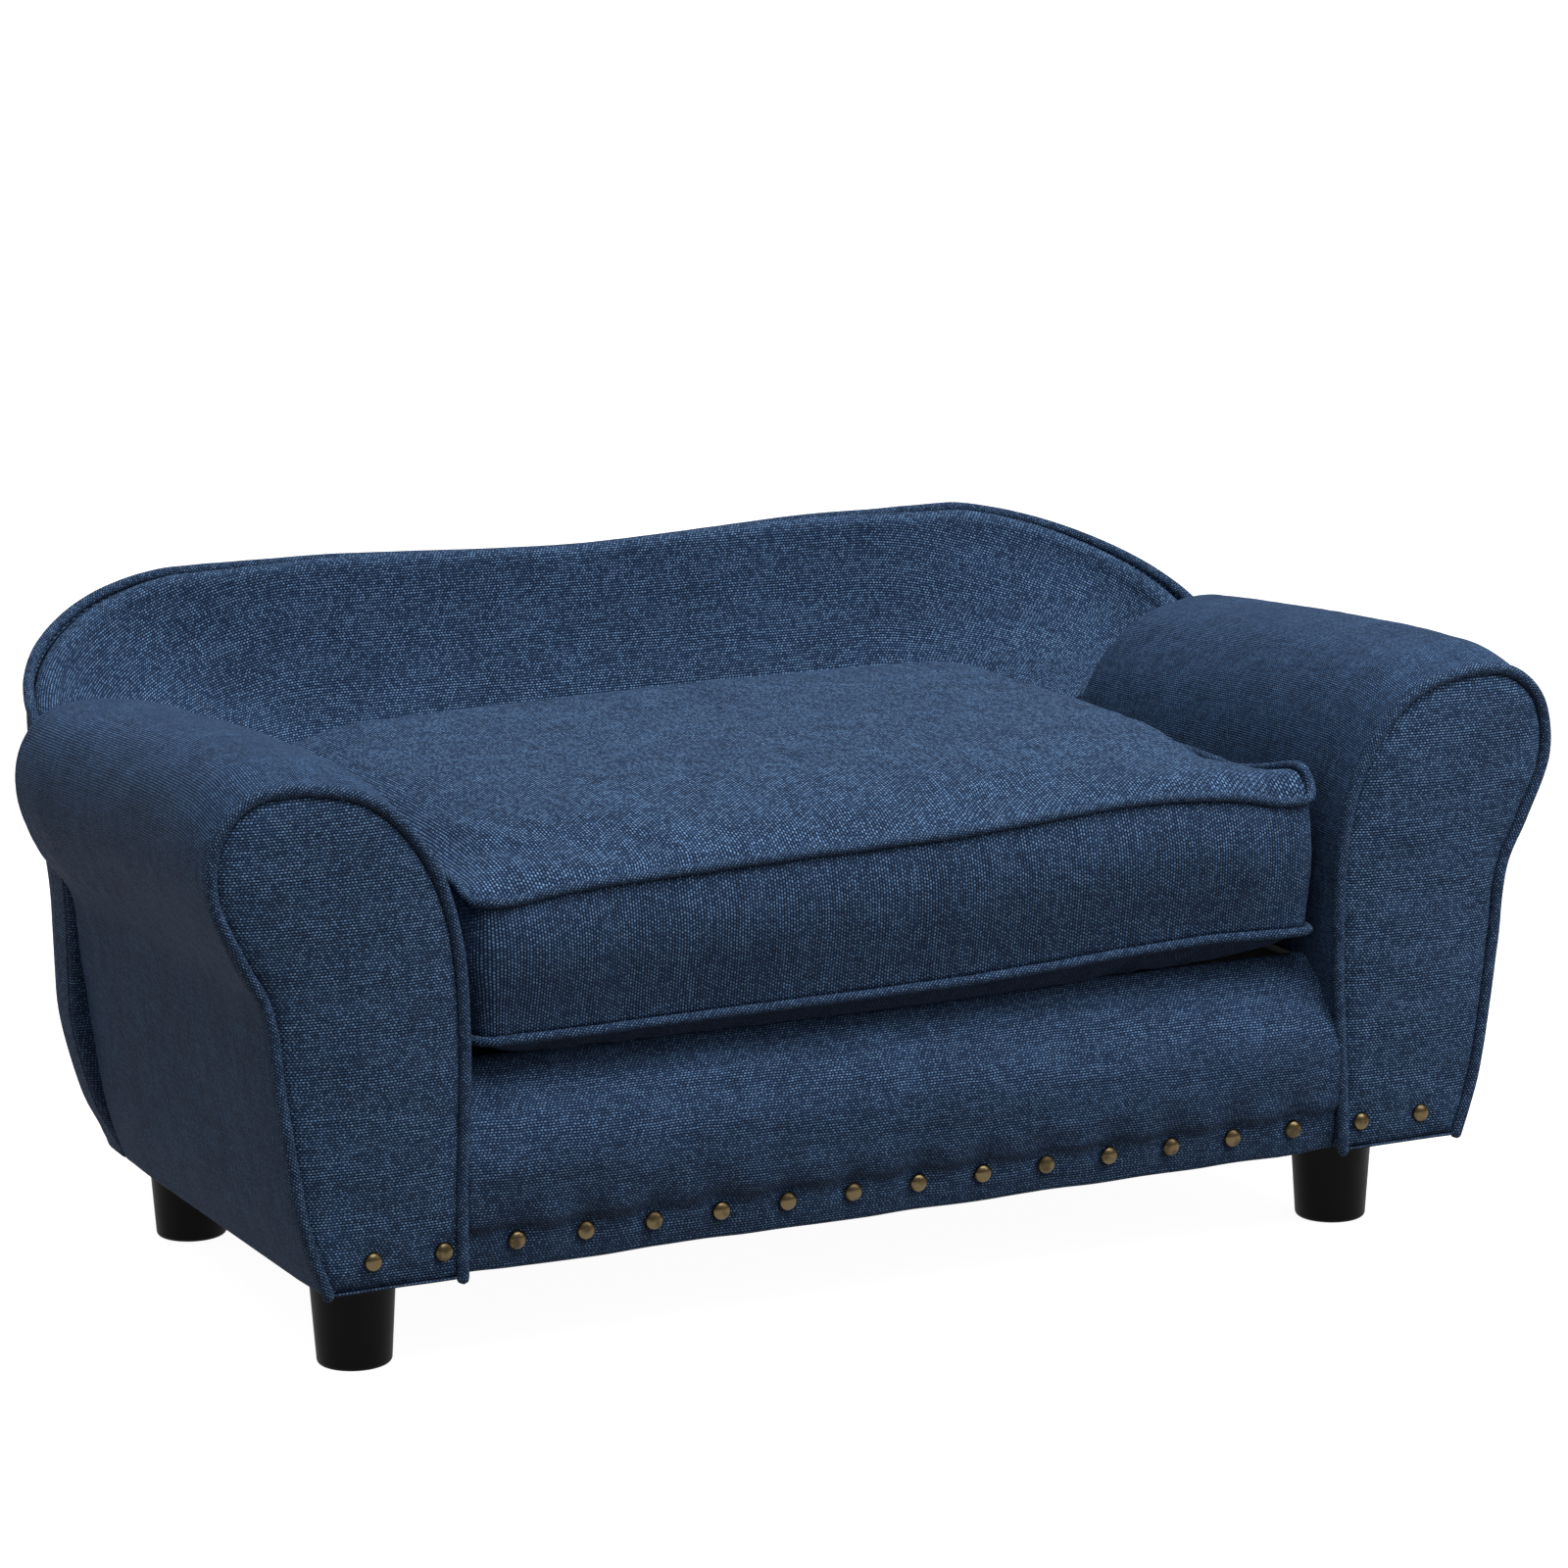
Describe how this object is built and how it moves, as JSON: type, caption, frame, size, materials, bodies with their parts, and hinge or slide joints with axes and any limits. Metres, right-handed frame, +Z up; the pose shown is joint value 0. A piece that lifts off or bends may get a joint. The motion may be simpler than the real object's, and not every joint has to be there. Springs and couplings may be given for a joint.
{
  "type": "dog bed with frame",
  "caption": "Small upholstered sofa-shaped dog bed with rolled arms, a curved back, a loose zipped seat cushion, nailhead trim and short round feet.",
  "frame": {"origin": "centre of the bounding box on the floor, under the feet", "axes": "+X to the right seen from the front, -Y to the front, +Z up"},
  "size_m": [0.7558, 0.4536, 0.3456],
  "materials": {
    "blue_linen": "blue linen-look weave with lighter and darker yarns",
    "welt_fabric": "the same cloth cut on the bias over cord",
    "foam": "open-cell foam",
    "pine": "sawn, unfinished",
    "plywood": "plain plywood and hardboard",
    "lining": "black non-woven lining",
    "zipper_tape": "woven tape with coil teeth",
    "zipper_metal": "painted zinc",
    "foot_plastic": "satin black moulding",
    "nail_brass": "antique brass"
  },
  "bodies": {
    "sofa": {"arm_cover_left": "blue_linen", "arm_cover_right": "blue_linen", "arm_foam_left": "foam", "arm_foam_right": "foam", "arm_front_board_left": "pine", "arm_front_board_right": "pine", "arm_front_panel_left": "blue_linen", "arm_front_panel_right": "blue_linen", "arm_rear_board_left": "pine", "arm_rear_board_right": "pine", "arm_side_panel_left": "plywood", "arm_side_panel_right": "plywood", "arm_top_rail_left": "pine", "arm_top_rail_right": "pine", "arm_welt_left": "welt_fabric", "arm_welt_right": "welt_fabric", "back_foam": "foam", "back_inner_cover": "blue_linen", "back_shell": "plywood", "back_welt": "welt_fabric", "base_front_cover": "blue_linen", "base_front_rail": "pine", "base_rear_rail": "pine", "base_side_rail_left": "pine", "base_side_rail_right": "pine", "deck_cover": "lining", "dust_cover": "lining", "foot_board_left": "plywood", "foot_board_right": "plywood", "foot_front_left": "foot_plastic", "foot_front_right": "foot_plastic", "foot_rear_left": "foot_plastic", "foot_rear_right": "foot_plastic", "nail_01": "nail_brass", "nail_02": "nail_brass", "nail_03": "nail_brass", "nail_04": "nail_brass", "nail_05": "nail_brass", "nail_06": "nail_brass", "nail_07": "nail_brass", "nail_08": "nail_brass", "nail_09": "nail_brass", "nail_10": "nail_brass", "nail_11": "nail_brass", "nail_12": "nail_brass", "nail_13": "nail_brass", "nail_14": "nail_brass", "nail_15": "nail_brass", "nail_16": "nail_brass", "nail_17": "nail_brass", "rear_cover": "blue_linen", "seat_board": "plywood"},
    "cushion": {"cushion_bottom": "blue_linen", "cushion_boxing": "blue_linen", "cushion_foam": "foam", "cushion_top": "blue_linen", "cushion_welt_lower": "welt_fabric", "cushion_welt_upper": "welt_fabric", "zipper_tape": "zipper_tape"},
    "zipper_slider": {"zipper_slider": "zipper_metal"}
  },
  "joints": [
    {"name": "cushion_lift", "type": "slide", "parent": "sofa", "child": "cushion", "axis": [0, 0, 1], "range_m": [0, 0.2]},
    {"name": "zipper_slide", "type": "slide", "parent": "cushion", "child": "zipper_slider", "axis": [1, 0, 0], "range_m": [0, 0.28]}
  ]
}
